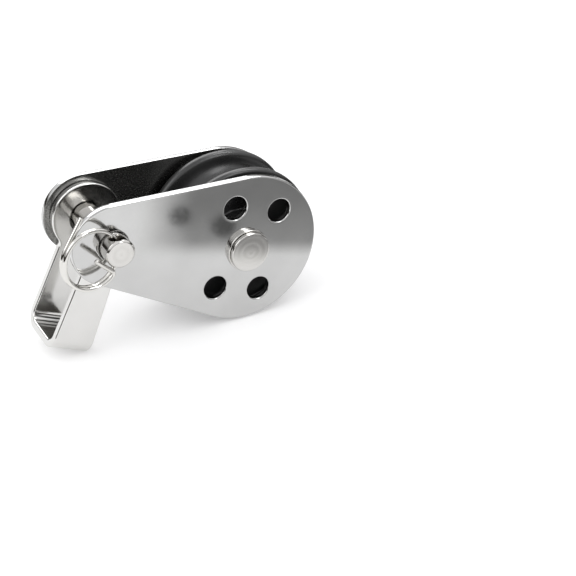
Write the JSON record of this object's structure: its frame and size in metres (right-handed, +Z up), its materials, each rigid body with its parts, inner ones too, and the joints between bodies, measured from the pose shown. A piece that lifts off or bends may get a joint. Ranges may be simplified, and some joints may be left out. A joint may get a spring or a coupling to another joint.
{
  "type": "single sheave rigging block",
  "caption": "Small rigging block: nylon sheave between two tapered steel cheeks, swivelling U bail held by a removable pin with a split ring.",
  "frame": {"origin": "centre of the sheave: on the axle, halfway between the cheek plates", "axes": "+Z up as the block stands on its sheave and the crown of its bail; +Y along the axle, away from the split ring; +X along the block, from the pin end to the sheave end (the block itself is raised 15.45 degrees at the pin end)"},
  "size_m": [0.0444, 0.0175, 0.025],
  "materials": {
    "cheek_steel": "satin stainless sheet, fine tumbled grain",
    "sheave_nylon": "black moulded nylon, semi-gloss",
    "turned_steel": "turned stainless, faint tool rings",
    "bail_steel": "polished stainless strap",
    "ring_wire": "bright drawn stainless wire"
  },
  "bodies": {
    "frame": {"front_cheek_plate": "cheek_steel", "rear_cheek_plate": "cheek_steel", "spacer_sleeve": "turned_steel", "axle_rivet": "turned_steel", "front_axle_washer": "turned_steel", "rear_axle_washer": "turned_steel"},
    "sheave": {"sheave": "sheave_nylon"},
    "bail": {"bail_strap": "bail_steel"},
    "pin": {"clevis_pin": "turned_steel"},
    "ring": {"split_ring": "ring_wire"}
  },
  "joints": [
    {"name": "sheave_spin", "type": "hinge", "parent": "frame", "child": "sheave", "pos_m": [0, 0, 0], "axis": [0, 1, 0], "continuous": true},
    {"name": "bail_swing", "type": "hinge", "parent": "frame", "child": "bail", "pos_m": [-0.02159, 0, 0.00597], "axis": [0, 1, 0], "range_deg": [-52, 216]},
    {"name": "pin_turn", "type": "hinge", "parent": "frame", "child": "pin", "pos_m": [-0.02159, 0, 0.00597], "axis": [0, 1, 0], "continuous": true},
    {"name": "ring_swing", "type": "hinge", "parent": "pin", "child": "ring", "pos_m": [-0.02159, -0.00765, 0.00597], "axis": [0, 0, 1], "range_deg": [-12, 165]}
  ]
}
